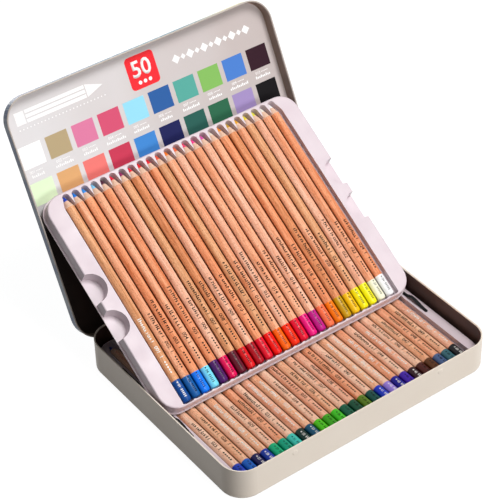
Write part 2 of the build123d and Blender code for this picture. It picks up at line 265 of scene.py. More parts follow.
def coat(
    tree: NodeTree,
    base: Any,
    layers: list[tuple[NodeSocket, Any]],
    values: dict[str | int, Any],
    gloss: tuple[NodeSocket, float, float] | None = None,
    relief: tuple[NodeSocket, float, float] | None = None,
) -> None:
    """Lays colours over one another and feeds a material's Principled shader.

    Args:
        tree: The material's node tree.
        base: The undermost colour: an sRGB hex colour, a linear one or a socket.
        layers: The mask and the colour of each layer over it, from below.
        values: The shader's plain inputs.
        gloss: A pattern, and the roughness where it is low and where it is high.
        relief: A pattern, and the strength and depth of the bump that it makes.
    """
    for mask, colour in layers:
        base = add_node(tree, "Mix", {0: mask, 6: base, 7: colour}, MIXED, data_type="RGBA")
    inputs = {"Base Color": base, **values}
    if gloss:
        pattern, low, high = gloss
        spread = {"From Min": NOISE_LOW, "From Max": NOISE_HIGH, "To Min": low, "To Max": high}
        inputs["Roughness"] = add_node(tree, "MapRange", {0: pattern, **spread})
    if relief:
        pattern, strength, depth = relief
        bump = {"Height": pattern, "Strength": strength, "Distance": depth}
        inputs["Normal"] = add_node(tree, "Bump", bump)
    feed(next(node for node in tree.nodes if node.type == "BSDF_PRINCIPLED"), inputs)


def streaks(
    tree: NodeTree, place: NodeSocket, tilt: float, width: float, length: float, detail: float
) -> NodeSocket:
    """Adds noise that is drawn out along a row's pencils.

    Args:
        tree: The material's node tree.
        place: Object coordinates.
        tilt: The row's slope, in radians.
        width: The streaks' width.
        length: Their length.
        detail: The noise's detail.

    Returns:
        The noise.
    """
    turned = {"Vector": place, "Rotation": (tilt, 0.0, 0.0), "Scale": (width, length, width)}
    drawn_out = add_node(tree, "Mapping", turned, vector_type="TEXTURE")
    return add_node(tree, "TexNoise", {"Vector": drawn_out, "Scale": 1.0, "Detail": detail})


def keep_mesh(bm: BMesh, name: str, materials: list[Material]) -> Object:
    """Turns a bmesh into an object of the scene and frees the bmesh.

    Args:
        bm: The finished shape, in place.
        name: The piece's name.
        materials: Its material slots, in order.

    Returns:
        The new object, at the origin and unturned.
    """
    mesh = bpy.data.meshes.new(name)
    bm.to_mesh(mesh)
    bm.free()
    for material in materials:
        mesh.materials.append(material)
    piece = bpy.data.objects.new(name, mesh)
    bpy.context.scene.collection.objects.link(piece)
    return piece


def dress(node: Object, material: Material) -> None:
    """Puts one material in every slot of a CAD node.

    Args:
        node: The node's object.
        material: Its new finish.
    """
    if not node.material_slots:
        node.data.materials.append(material)
    for slot in node.material_slots:
        slot.material = material
    log.info("%s: %s", node.name, material.name)


def reach(node: Object, direction: Vector) -> tuple[float, float]:
    """Finds the least and greatest distance of a CAD node's points along a unit vector."""
    places = [vertex.co.dot(direction) for vertex in node.data.vertices]
    return min(places), max(places)


@dataclass(frozen=True)
class Seat:
    """A place with its own axes, such as the lid's panel or one pencil's groove."""

    origin: Vector
    right: Vector
    along: Vector
    out: Vector

    def at(self, right: float, along: float, out: float) -> Vector:
        """Finds the scene's point at these distances to the right, along and out."""
        return self.origin + self.right * right + self.along * along + self.out * out

    def matrix(self) -> Matrix:
        """Gives the transform from local points to the scene."""
        turn = Matrix((self.right, self.along, self.out)).transposed().to_4x4()
        return Matrix.Translation(self.origin) @ turn


@dataclass(frozen=True)
class PanShape:
    """A rounded pan of sheet metal, as its finish sees it, from rim to panel."""

    width: float
    depth: float
    corner: float
    height: float
    edge_radius: float
    rim: float
    sheet: float

    def inside_mask(self, tree: NodeTree, local: NodeSocket) -> NodeSocket:
        """Builds nodes that tell the inside of the pan from its outside.

        Args:
            tree: The material's node tree.
            local: Coordinates with the pan's middle at the origin and its panel at the top.

        Returns:
            A socket that is 1 on the inside and 0 outside and on the curled rim.
        """
        flat = add_node(tree, "VectorMath", {0: local, 1: (1.0, 1.0, 0.0)}, operation="MULTIPLY")
        folded = add_node(tree, "VectorMath", {0: flat}, operation="ABSOLUTE")
        straight = (self.width / 2 - self.corner, self.depth / 2 - self.corner, 0.0)
        beyond = add_node(tree, "VectorMath", {0: folded, 1: straight}, operation="SUBTRACT")
        corner = add_node(tree, "VectorMath", {0: beyond, 1: (0.0, 0.0, 0.0)}, operation="MAXIMUM")
        length = add_node(tree, "VectorMath", {0: corner}, "Value", operation="LENGTH")
        wall = self.corner - self.edge_radius
        across = add_node(tree, "Math", {0: length, 1: wall}, operation="SUBTRACT")
        height = add_node(tree, "SeparateXYZ", {0: local}, "Z")
        bend = self.height - self.edge_radius
        above = add_node(tree, "Math", {0: height, 1: bend}, operation="SUBTRACT")
        edge = add_node(tree, "CombineXYZ", {0: across, 1: above})
        bent = add_node(tree, "VectorMath", {0: edge, 1: (0.0, 0.0, 0.0)}, operation="MAXIMUM")
        out = add_node(tree, "VectorMath", {0: bent}, "Value", operation="LENGTH")
        middle = self.edge_radius - self.sheet / 2
        within = add_node(tree, "Math", {0: out, 1: middle}, operation="LESS_THAN")
        past_rim = add_node(tree, "Math", {0: height, 1: self.rim}, operation="GREATER_THAN")
        return add_node(tree, "Math", {0: within, 1: past_rim}, operation="MULTIPLY")


@dataclass(frozen=True)
class BaseEnamel:
    """Roller-coated tinplate: satin cream outside, dark lacquer inside, made darker still as painted shade of
    the tin's hollow.
    """

    pan: PanShape
    outside: str = "#F0E5D8"
    shade: str = "#E9DCCD"
    # The inside's dark lacquer, made darker as painted shade of the hollow
    inside: str = "#4C3831"
    scuff: str = "#5C463E"
    # The rollers' stipple is finer than this on the real tin, too fine to show
    stipple: float = 1.5 * MM
    cloud: float = 40 * MM

    def build(self) -> Material:
        """Makes the enamel's material.

        Returns:
            The material.
        """
        material, tree, place = new_material("roller_coated_tinplate_cream")
        # The pan stands on its panel, so it is turned over for the mask
        turned = {"Vector": place, "Location": (0.0, 0.0, self.pan.height), "Scale": (1.0, 1.0, -1.0)}
        mask = self.pan.inside_mask(tree, add_node(tree, "Mapping", turned))
        stipple = add_node(tree, "TexNoise", {"Vector": place, "Scale": 1 / self.stipple, "Detail": 3.0})
        cloud = add_node(tree, "TexNoise", {"Vector": place, "Scale": 1 / self.cloud, "Detail": 2.0})
        dark = add_node(tree, "Mix", {0: stipple, 6: self.inside, 7: self.scuff}, MIXED, data_type="RGBA")
        # A rolled coat levels out on the tin, so its sheen is even and satin
        coat(
            tree, self.outside, [(cloud, self.shade), (mask, dark)], {"Specular IOR Level": 0.25},
            gloss=(stipple, 0.36, 0.48), relief=(stipple, 0.12, 0.02 * MM),
        )
        return material


@dataclass(frozen=True)
class LidEnamel:
    """Offset-printed tinplate: a blue wash on the back, a grey-pink panel and brown skirt inside, with
    painted shade on the panel.
    """

    pan: PanShape
    middle: Vector
    tilt: float
    panel: str = "#D4D1D2"
    # The panel's darker colour, brought in by painted shade towards the right and by a random cloud
    panel_shade: str = "#BCB0AD"
    # The painted shade of the propped tray, dark brown towards the hinge and fading in between dark_to and
    # dark_from
    hinge_shade: str = "#2B1F1A"
    dark_from: float = 88 * MM
    dark_to: float = 104 * MM
    skirt: str = "#8C786C"
    rim: str = "#B9AEA6"
    deep: str = "#17365E"
    mid: str = "#2F7F93"
    light: str = "#E9E2B4"
    hatching: str = "#DDE6E4"
    grain: float = 1.2 * MM
    cloud: float = 70 * MM
    swirl: float = 55 * MM
    stroke_width: float = 1.2 * MM
    stroke_length: float = 30 * MM
    stroke_slant: float = 0.9

    def build(self) -> Material:
        """Makes the printed tinplate's material.

        Returns:
            The material.
        """
        material, tree, place = new_material("offset_printed_tinplate")
        turned = {"Vector": place, "Location": self.middle, "Rotation": (self.tilt, 0.0, 0.0)}
        local = add_node(tree, "Mapping", turned, vector_type="TEXTURE")
        inside = self.pan.inside_mask(tree, local)
        across, along, height = (add_node(tree, "SeparateXYZ", {0: local}, axis) for axis in "XYZ")
        # The sheet's inside face lies one thickness down, and this plane half a thickness under it
        panel_face = self.pan.height - self.pan.sheet * 1.5
        on_panel = add_node(tree, "Math", {0: height, 1: panel_face}, operation="GREATER_THAN")
        on_rim = add_node(tree, "Math", {0: height, 1: self.pan.rim}, operation="LESS_THAN")
        cloud = add_node(tree, "TexNoise", {"Vector": local, "Scale": 1 / self.cloud, "Detail": 2.0})
        # The press's grain is drawn this coarse because the real one is too fine to show
        grain = add_node(tree, "TexNoise", {"Vector": local, "Scale": 1 / self.grain, "Detail": 3.0})
        # Painted shade darkens the panel from left to right, with a random cloud in it, and turns it dark
        # brown on the hinge's side, where the propped tray shades the panel
        half_width = self.pan.width / 2
        spread = {"From Min": -half_width, "From Max": half_width, "To Min": -0.45, "To Max": 0.5}
        shade_across = add_node(tree, "MapRange", {0: across, **spread})
        half_depth = self.pan.depth / 2
        fade = {"From Min": half_depth - self.dark_to, "From Max": half_depth - self.dark_from}
        dark = add_node(tree, "MapRange", {0: along, **fade})
        shade_and_cloud = add_node(tree, "Math", {0: shade_across, 1: cloud}, operation="ADD", use_clamp=True)
        pale = add_node(tree, "Mix", {0: shade_and_cloud, 6: self.panel, 7: self.panel_shade}, MIXED, data_type="RGBA")
        panel = add_node(tree, "Mix", {0: dark, 6: pale, 7: self.hinge_shade}, MIXED, data_type="RGBA")
        lining = add_node(tree, "Mix", {0: on_panel, 6: self.skirt, 7: panel}, MIXED, data_type="RGBA")
        # Varnish over the print gives it a satin sheen
        coat(
            tree, self.wash(tree, local, across), [(inside, lining), (on_rim, self.rim)], {"IOR": 1.5},
            gloss=(grain, 0.34, 0.46), relief=(grain, 0.1, 0.02 * MM),
        )
        return material

    def wash(self, tree: NodeTree, local: NodeSocket, across: NodeSocket) -> NodeSocket:
        """Paints the lid's back: deep blue at the left running to pale yellow at the right.

        Args:
            tree: The material's node tree.
            local: Coordinates of the lid.
            across: The first of them.

        Returns:
            The colour socket.
        """
        folds = {"Vector": local, "Scale": 1 / self.swirl, "Detail": 4.0, "Distortion": 0.8}
        swirl = add_node(tree, "TexNoise", folds)
        half_width = self.pan.width / 2
        spread = {"From Min": -half_width, "From Max": half_width, "To Min": -0.25, "To Max": 0.75}
        side = add_node(tree, "MapRange", {0: across, **spread})
        mixed = add_node(tree, "Math", {0: side, 1: swirl}, operation="ADD")
        first = add_node(tree, "MapRange", {0: mixed, "From Min": 0.35, "From Max": 0.75})
        second = add_node(tree, "MapRange", {0: mixed, "From Min": 0.8, "From Max": 1.15})
        # Slanting pencil strokes are hatched into the wash
        size = (1 / self.stroke_width, 1 / self.stroke_length, 1.0)
        slanted = {"Vector": local, "Rotation": (0.0, 0.0, self.stroke_slant), "Scale": size}
        hatch = add_node(tree, "Mapping", slanted)
        stroke = add_node(tree, "TexNoise", {"Vector": hatch, "Scale": 1.0, "Detail": 2.0})
        weight = add_node(tree, "MapRange", {0: stroke, "From Min": 0.5, "From Max": 0.68, "To Max": 0.45})
        art = self.deep
        for share, paint in ((first, self.mid), (second, self.light), (weight, self.hatching)):
            art = add_node(tree, "Mix", {0: share, 6: art, 7: paint}, MIXED, data_type="RGBA")
        return art


@dataclass(frozen=True)
class ZincWire:
    """Zinc-plated spring wire: a dull bright metal with drawing lines."""

    colour: str = "#B4B6B8"
    dull: str = "#8E9092"
    line_length: float = 6 * MM
    # The die's lines are finer than this, too fine to show
    line_width: float = 0.2 * MM

    def build(self) -> Material:
        """Makes the wire's material.

        Returns:
            The material.
        """
        material, tree, place = new_material("zinc_plated_wire")
        size = (1 / self.line_length, 1 / self.line_width, 1 / self.line_width)
        lines = add_node(tree, "Mapping", {"Vector": place, "Scale": size})
        drawn = add_node(tree, "TexNoise", {"Vector": lines, "Scale": 1.0, "Detail": 2.0})
        # Electroplating on drawn wire is bright but not a mirror
        coat(tree, self.colour, [(drawn, self.dull)], {"Metallic": 1.0}, gloss=(drawn, 0.28, 0.42))
        return material


@dataclass(frozen=True)
class FormedPlastic:
    """Vacuum-formed polystyrene sheet: pale lilac, satin, a little light passes into it."""

    colour: str = "#DACCD1"
    thin: str = "#D0BFC6"
    flow: float = 18 * MM
    # The sheet's grain is finer than this, too fine to show
    grain: float = 0.9 * MM

    def build(self) -> Material:
        """Makes the trays' material.

        Returns:
            The material.
        """
        material, tree, place = new_material("vacuum_formed_polystyrene")
        flow = add_node(tree, "TexNoise", {"Vector": place, "Scale": 1 / self.flow, "Detail": 2.0})
        grain = add_node(tree, "TexNoise", {"Vector": place, "Scale": 1 / self.grain, "Detail": 2.0})
        # The sheet stretches over the mould, so its gloss comes and goes
        scatter = {
            "IOR": 1.55, "Subsurface Weight": 0.08, "Subsurface Radius": (1.0 * MM, 0.8 * MM, 0.8 * MM),
        }
        coat(
            tree, self.colour, [(flow, self.thin)], scatter,
            gloss=(flow, 0.38, 0.52), relief=(grain, 0.15, 0.03 * MM),
        )
        return material


@dataclass(frozen=True)
class WovenTape:
    """Black woven nylon tape: matt, with crossing threads that catch a little light."""

    colour: str = "#0B0B0D"
    lit: str = "#1A1A1D"
    thread: float = 0.7 * MM
    # A wave texture of scale 1 repeats after this length
    wave: float = 0.314

    def build(self) -> Material:
        """Makes the straps' material.

        Returns:
            The material.
        """
        material, tree, place = new_material("woven_nylon_tape")
        # A plain weave: two waves at right angles, multiplied
        threads = {"Vector": place, "Scale": self.wave / self.thread}
        warp, weft = (
            add_node(tree, "TexWave", threads, "Fac", bands_direction=direction) for direction in "YZ"
        )
        weave = add_node(tree, "Math", {0: warp, 1: weft}, operation="MULTIPLY")
        # Fine threads scatter the light, so the tape has no shine of its own
        values = {"Roughness": 0.7, "Specular IOR Level": 0.2}
        coat(tree, self.colour, [(weave, self.lit)], values, relief=(weave, 0.6, 0.15 * MM))
        return material


@dataclass(frozen=True)
class VarnishedWood:
    """Clear-varnished pencil wood: straight streaks, short dark pores and a soft gloss."""

    row: str
    shade: Wood
    tilt: float
    pore: str = "#8A4A22"
    # The colour of the painted shade on the sides where barrels meet
    gap_shade: str = "#4A1E0C"

    def build(self) -> Material:
        """Makes the barrels' material.

        Returns:
            The material.
        """
        material, tree, place = new_material(f"varnished_wood_{self.shade.name.lower()}_{self.row}")
        pale, deep = self.shade.value
        # Streaks run along the barrels: broad bands, growth lines and pores
        broad = streaks(tree, place, self.tilt, 2.6 * MM, 70 * MM, 2.0)
        fine = streaks(tree, place, self.tilt, 0.55 * MM, 12 * MM, 3.0)
        speck = streaks(tree, place, self.tilt, 0.32 * MM, 1.7 * MM, 1.0)
        tone = add_node(tree, "Math", {0: broad, 1: fine}, operation="ADD")
        share = add_node(tree, "MapRange", {0: tone, "From Min": 0.75, "From Max": 1.3})
        pitted = add_node(tree, "MapRange", {0: speck, "From Min": 0.56, "From Max": 0.7, "To Max": 0.6})
        # Painted shade darkens the sides where one barrel lies against the next and hides the light from them
        gap_shade_mask = add_node(tree, "Attribute", {}, "Fac", attribute_name=GAP_SHADE)
        layers = [(share, deep), (pitted, self.pore), (gap_shade_mask, self.gap_shade)]
        # The varnish is thin, so the wood under it stays half matt
        values = {
            "Roughness": 0.5, "Specular IOR Level": 0.2, "Coat Weight": 0.12, "Coat Roughness": 0.2,
        }
        coat(tree, pale, layers, values, relief=(fine, 0.12, 0.05 * MM))
        return material


@dataclass(frozen=True)
class SharpenedWood:
    """Freshly cut pencil wood: pale and matt, with the cutter's fine lines."""

    row: str
    tilt: float
    pale: str = "#F0CDB4"
    deep: str = "#D9AA8C"

    def build(self) -> Material:
        """Makes the cones' material.

        Returns:
            The material.
        """
        material, tree, place = new_material(f"sharpened_wood_{self.row}")
        line = streaks(tree, place, self.tilt, 0.5 * MM, 6 * MM, 3.0)
        ring = streaks(tree, place, self.tilt, 4 * MM, 0.35 * MM, 1.0)
        share = add_node(tree, "MapRange", {0: line, "From Min": 0.35, "From Max": 0.7})
        # The cutter opens the grain, so the cone is dry and matt
        coat(tree, self.pale, [(share, self.deep)], {"Roughness": 0.8}, relief=(ring, 0.25, 0.06 * MM))
        return material


@dataclass(frozen=True)
class DipPaint:
    """Glossy dipped lacquer on a pencil's butt: smooth, with a slight sag and a clear shine."""

    colour_name: str
    colour: str
    sag: float = 5 * MM
    sagged: float = 0.82
    # How much of the paint's colour is left in the painted shade where caps meet
    gap_shade_share: float = 0.25

    def build(self) -> Material:
        """Makes the cap's material.

        Returns:
            The material.
        """
        material, tree, place = new_material(f"dipped_lacquer_{self.colour_name}")
        sag = add_node(tree, "TexNoise", {"Vector": place, "Scale": 1 / self.sag, "Detail": 2.0})
        # Painted shade darkens the sides where one cap lies against the next
        gap_shade_mask = add_node(tree, "Attribute", {}, "Fac", attribute_name=GAP_SHADE)
        layers = [(sag, darker(self.colour, self.sagged)), (gap_shade_mask, darker(self.colour, self.gap_shade_share))]
        # A dipped coat flows out smooth, so a clear shine lies on it
        values = {
            "Roughness": 0.35, "Specular IOR Level": 0.12, "Coat Weight": 0.22, "Coat Roughness": 0.06,
        }
        coat(tree, self.colour, layers, values, relief=(sag, 0.2, 0.08 * MM))
        return material


@dataclass(frozen=True)
class PigmentCore:
    """Waxy colour pencil lead: matt, with crumbs of pigment and the cutter's rings."""

    colour_name: str
    colour: str
    crumb: float = 0.5 * MM
    worn: float = 0.85

    def build(self) -> Material:
        """Makes the lead's material.

        Returns:
            The material.
        """
        material, tree, place = new_material(f"pigment_core_{self.colour_name}")
        crumb = add_node(tree, "TexNoise", {"Vector": place, "Scale": 1 / self.crumb, "Detail": 2.0})
        layers = [(crumb, darker(self.colour, self.worn))]
        # Wax gives the pigment a low, broad sheen
        coat(tree, self.colour, layers, {"Roughness": 0.55}, relief=(crumb, 0.3, 0.05 * MM))
        return material


@dataclass(frozen=True)
class PrintInk:
    """Pad-printed ink or hot-stamped foil, a thin even film with small breaks."""

    film: str
    colour: str
    worn: str
    metallic: float = 0.0
    roughness: float = 0.5
    wear: float = 0.8 * MM

    def build(self) -> Material:
        """Makes the print's material.

        Returns:
            The material.
        """
        material, tree, place = new_material(self.film)
        wear = add_node(tree, "TexNoise", {"Vector": place, "Scale": 1 / self.wear, "Detail": 2.0})
        share = add_node(tree, "MapRange", {0: wear, "From Min": 0.45, "From Max": 0.75})
        # The film dries matt, so it stays even under the lamps
        coat(tree, self.colour, [(share, self.worn)], {
            "Metallic": self.metallic, "Roughness": self.roughness, "Specular IOR Level": 0.04,
        })
        return material


@dataclass
class FlatMarks:
    """Flat marks that are laid out before they are placed as print."""

    bm: BMesh = field(default_factory=bmesh.new)
    # A figure's height in the built-in font, as a share of the font's size
    figure_share: float = 0.72

    def figures(self, text: str, x: float, y: float, height: float, weight: float = 0.0) -> float:
        """Adds figures.

        Args:
            text: The figures.
            x: Where the first one starts.
            y: The line that they stand on.
            height: Their height.
            weight: How far their strokes are widened.

        Returns:
            Where the last one ends.
        """
        curve = bpy.data.curves.new("figures", "FONT")
        curve.body = text
        curve.size = height / self.figure_share
        curve.resolution_u = 3
        curve.offset = weight
        holder = bpy.data.objects.new("figures", curve)
        mesh = bpy.data.meshes.new_from_object(holder)
        mesh.transform(Matrix.Translation((x, y, 0.0)))
        end = max(vertex.co.x for vertex in mesh.vertices)
        self.bm.from_mesh(mesh)
        bpy.data.meshes.remove(mesh)
        bpy.data.objects.remove(holder)
        bpy.data.curves.remove(curve)
        return end

    def bar(self, x: float, y: float, width: float, height: float) -> None:
        """Adds a bar.

        Args:
            x: Its left side.
            y: Its lower side.
            width: Its size across.
            height: Its size upwards.
        """
        middle = Matrix.Translation((x + width / 2, y + height / 2, 0.0))
        place = middle @ Matrix.Diagonal((width, height, 1.0, 1.0))
        bmesh.ops.create_grid(self.bm, x_segments=1, y_segments=1, size=0.5, matrix=place)

    def dot(self, x: float, y: float, radius: float, sides: int) -> None:
        """Adds a filled disc around a point, or with four sides a square on its corner."""
        place = Matrix.Translation((x, y, 0.0))
        bmesh.ops.create_circle(self.bm, cap_ends=True, segments=sides, radius=radius, matrix=place)


@dataclass(frozen=True)
class PencilPrint:
    """The print of a pencil, laid out flat: x runs from the tip to the butt, y across the barrel."""

    number: int
    strokes: random.Random
    height: float = 2.8 * MM
    low: float = -1.4 * MM
    weight: float = 0.05 * MM
    dots: int = 5
    dots_start: float = -32.7 * MM
    dot_pitch: float = 2.1 * MM
    dot_radius: float = 0.7 * MM
    rules: tuple[float, float] = (-37.6 * MM, -50.4 * MM)
    rule_width: float = 0.5 * MM
    number_start: float = -46.2 * MM
    strokes_start: float = -53.0 * MM
    stroke_counts: tuple[int, int] = (9, 16)
    stroke_width: float = 0.65 * MM
    stroke_heights: tuple[float, ...] = (1.9 * MM, 1.9 * MM, 2.1 * MM, 2.9 * MM)
    stroke_pitches: tuple[float, ...] = (1.45 * MM, 1.6 * MM, 1.6 * MM, 2.5 * MM)
    arm_share: float = 0.85
    arm_width: float = 0.7 * MM
    arm_height: float = 0.55 * MM
    arm_places: tuple[float, ...] = (0.0, 0.6 * MM, 1.3 * MM)
    cap_height: float = 1.9 * MM
    cap_weight: float = 0.04 * MM
    cap_dot: float = -15.6 * MM
    cap_dot_radius: float = 0.6 * MM
    cap_number: float = -14.2 * MM
    cap_strokes: float = -10.0 * MM
    cap_stroke_pitch: float = 1.35 * MM
    cap_stroke_width: float = 0.6 * MM

    def build(self) -> BMesh:
        """Lays out the marks of the barrel and of the cap.

        Returns:
            The flat print.
        """
        marks = FlatMarks()
        # Dots, the pencil's number between two rules, and a row of plain strokes, all on the barrel
        for step in range(self.dots):
            marks.dot(self.dots_start + step * self.dot_pitch, 0.0, self.dot_radius, sides=10)
        marks.bar(self.rules[0], self.low, self.rule_width, self.height)
        marks.figures(f"{self.number:03d}", self.number_start, self.low, self.height, self.weight)
        marks.bar(self.rules[1], self.low, self.rule_width, self.height)
        x = self.strokes_start
        for _ in range(self.strokes.randint(*self.stroke_counts)):
            marks.bar(x, self.low, self.stroke_width, self.strokes.choice(self.stroke_heights))
            if self.strokes.random() < self.arm_share:
                middle = self.low + self.strokes.choice(self.arm_places)
                marks.bar(x + self.stroke_width, middle, self.arm_width, self.arm_height)
            x -= self.strokes.choice(self.stroke_pitches)
        # A dot, the number and a few strokes on the cap
        low = -self.cap_height / 2
        marks.dot(self.cap_dot, 0.0, self.cap_dot_radius, sides=10)
        marks.figures(f"{self.number:02d}", self.cap_number, low, self.cap_height, self.cap_weight)
        for step in range(self.dots):
            place = self.cap_strokes + step * self.cap_stroke_pitch
            marks.bar(place, low, self.cap_stroke_width, self.cap_height)
        return marks.bm


@dataclass(frozen=True)
class Pencil:
    """One sharpened round pencil, its paint, lead and print, in place of its CAD node."""

    node: Object
    seat: Seat
    radius: float
    length: float
    number: int
    body: str
    cap_length: float
    cap_film: float = 0.04 * MM
    cap_edge: float = 0.25 * MM
    cap_step: float = 0.05 * MM
    cone_length: float = 9.5 * MM
    shoulder_bevel: float = 0.3 * MM
    shoulder_drop: float = 0.06 * MM
    lead_radius: float = 1.9 * MM
    lead_bevel: float = 0.1 * MM
    lead_drop: float = 0.03 * MM
    tip_radius: float = 0.5 * MM
    tip_bevels: tuple[float, float] = (0.2 * MM, 0.05 * MM)
    inner_share: float = 0.6
    butt_rounding: float = 2.2 * MM
    butt_steps: int = 7
    butt_step: float = 15.0
    print_height: float = 0.05 * MM
    print_turn: float = 0.16
    print_seed: int = 7
    cut_pitch: float = 0.5 * MM
    cuts: int = 4
    # Where the painted shade between barrels starts and where it is full, as shares of the radius
    gap_shade_from: float = 0.89
    gap_shade_to: float = 0.98
    sides: int = 36
    merge: float = 0.002 * MM

    def profile(self) -> list[tuple[float, float, Band]]:
        """Draws the outline from the butt to the tip.

        Returns:
            Radius, distance from the butt and material slot of the band that starts there.
        """
        cap = self.radius + self.cap_film
        flat = cap - self.butt_rounding
        points = [(0.0, 0.0, Band.CAP), (flat * self.inner_share, 0.0, Band.CAP)]
        for step in range(self.butt_steps):
            angle = math.radians(self.butt_step * step)
            across = flat + self.butt_rounding * math.sin(angle)
            points.append((across, self.butt_rounding * (1 - math.cos(angle)), Band.CAP))
        shoulder = self.length - self.cone_length
        slope = (self.radius - self.tip_radius) / self.cone_length
        lead_start = self.length - (self.lead_radius - self.tip_radius) / slope
        return points + [
            (cap, self.cap_length - self.cap_edge, Band.CAP),
            (cap - self.cap_film * 0.5, self.cap_length, Band.CAP),
            (self.radius, self.cap_length + self.cap_step, Band.BARREL),
            (self.radius, shoulder - self.shoulder_bevel, Band.BARREL),
            (self.radius - self.shoulder_drop, shoulder, Band.CONE),
            (self.lead_radius + self.lead_drop, lead_start - self.lead_bevel, Band.CONE),
            (self.lead_radius, lead_start, Band.LEAD),
            (self.tip_radius, self.length - self.tip_bevels[0], Band.LEAD),
            (self.tip_radius * self.inner_share, self.length - self.tip_bevels[1], Band.LEAD),
            (0.0, self.length, Band.LEAD),
        ]

    def turned(self) -> BMesh:
        """Spins the outline into a closed pencil, along local y.

        Returns:
            The pencil.
        """
        bm = bmesh.new()
        points = self.profile()
        outline = [bm.verts.new((across, along, 0.0)) for across, along, _ in points]
        edges = [bm.edges.new(pair) for pair in zip(outline, outline[1:])]
        bmesh.ops.spin(
            bm, geom=outline + edges, axis=(0.0, 1.0, 0.0), cent=(0.0, 0.0, 0.0),
            angle=math.tau, steps=self.sides, use_merge=True,
        )
        bmesh.ops.remove_doubles(bm, verts=bm.verts[:], dist=self.merge)
        bmesh.ops.recalc_face_normals(bm, faces=bm.faces[:])
        # A face takes the band of its ring nearest the butt, the last of them where two rings meet
        for face in bm.faces:
            lowest = min(vertex.co.y for vertex in face.verts)
            nearest = min((along for _, along, _ in points), key=lambda along: abs(along - lowest))
            face.material_index = [band for _, along, band in points if math.isclose(along, nearest)][-1]
            face.smooth = True
        # How near each point is to the neighbouring barrels, from 0 on top to 1 at the sides, which places
        # the painted shade between them
        gap_shade = bm.verts.layers.float.new(GAP_SHADE)
        for vertex in bm.verts:
            side = abs(vertex.co.x) / self.radius
            vertex[gap_shade] = min(1.0, max(0.0, (side - self.gap_shade_from) / (self.gap_shade_to - self.gap_shade_from)))
        return bm

    def wrapped_print(self) -> Mesh:
        """Bends the flat print round the barrel, a little proud of it.

        Returns:
            The print's mesh.
        """
        strokes = random.Random(self.number * self.print_seed + len(self.body))
        bm = PencilPrint(self.number, strokes).build()
        for step in range(-self.cuts, self.cuts + 1):
            bmesh.ops.bisect_plane(
                bm, geom=bm.verts[:] + bm.edges[:] + bm.faces[:], dist=1e-7,
                plane_co=(0.0, step * self.cut_pitch, 0.0), plane_no=(0.0, 1.0, 0.0),
            )
        turn = random.Random(self.number).uniform(-self.print_turn, self.print_turn)
        for vertex in bm.verts:
            along = -vertex.co.x
            lift = self.print_height + (self.cap_film if along < self.cap_length else 0.0)
            angle = vertex.co.y / self.radius + turn
            across = self.radius + lift
            vertex.co = Vector((across * math.sin(angle), along, across * math.cos(angle)))
        for face in bm.faces:
            face.normal_update()
            middle = face.calc_center_median()
            if face.normal.dot(Vector((middle.x, 0.0, middle.z))) < 0:
                face.normal_flip()
            face.material_index = Band.PRINT
            face.smooth = True
        mesh = bpy.data.meshes.new("pencil_print")
        bm.to_mesh(mesh)
        bm.free()
        return mesh

    def build(self, materials: list[Material]) -> None:
        """Makes the pencil and sets it in its groove.

        Args:
            materials: A material for each of the bands.
        """
        bm = self.turned()
        printed = self.wrapped_print()
        bm.from_mesh(printed)
        bpy.data.meshes.remove(printed)
        bmesh.ops.transform(bm, matrix=self.seat.matrix(), verts=bm.verts[:])
        piece = keep_mesh(bm, self.node.name + "_dressed", materials)
        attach(piece, self.body)
        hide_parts(self.node.name)
        log.info("%s: %d faces", piece.name, len(piece.data.polygons))


@dataclass(frozen=True)
class PencilRow:
    """A tray's row of pencils, from left to right. Its body is a format that takes their places."""

    name: str
    along: Vector
    out: Vector
    pencils: dict[str, tuple[str, str, Wood]]
    body: str
    first_number: int
    cap_length: float
    cap_spread: float = 0.5 * MM

    def seat_of(self, node: Object) -> tuple[Seat, float, float]:
        """Finds a pencil's butt, directions and size from its CAD node.

        Args:
            node: The CAD pencil.

        Returns:
            The seat, the barrel's radius and the pencil's length.
        """
        left, right = reach(node, RIGHT)
        start, end = reach(node, self.along)
        below, above = reach(node, self.out)
        middle = Vector(((left + right) / 2, 0.0, 0.0))
        origin = middle + self.along * start + self.out * (below + above) / 2
        return Seat(origin, RIGHT, self.along, self.out), (right - left) / 2, end - start

    def build(self, frame: dict[str, Any], black: Material, silver: Material) -> None:
        """Makes every pencil of the row.

        Args:
            black: The printed ink.
            silver: The stamped foil.
        """
        tilt = math.atan2(self.along.z, self.along.y)
        cone = SharpenedWood(self.name, tilt).build()
        barrels = {shade: VarnishedWood(self.name, shade, tilt).build() for shade in Wood}
        dips = random.Random(self.name)
        for index, (colour_name, (paint, lead, shade)) in enumerate(self.pencils.items()):
            node = frame["nodes"][f"pencil_{self.name}_{index + 1:02d}_{colour_name}"]
            seat, radius, length = self.seat_of(node)
            cap_length = self.cap_length + dips.uniform(-self.cap_spread, self.cap_spread)
            number = self.first_number + index
            Pencil(node, seat, radius, length, number, self.body.format(index + 1), cap_length).build([
                barrels[shade], DipPaint(colour_name, paint).build(), cone,
                PigmentCore(colour_name, lead).build(), silver if colour_name in SILVER_PRINTED else black,
            ])


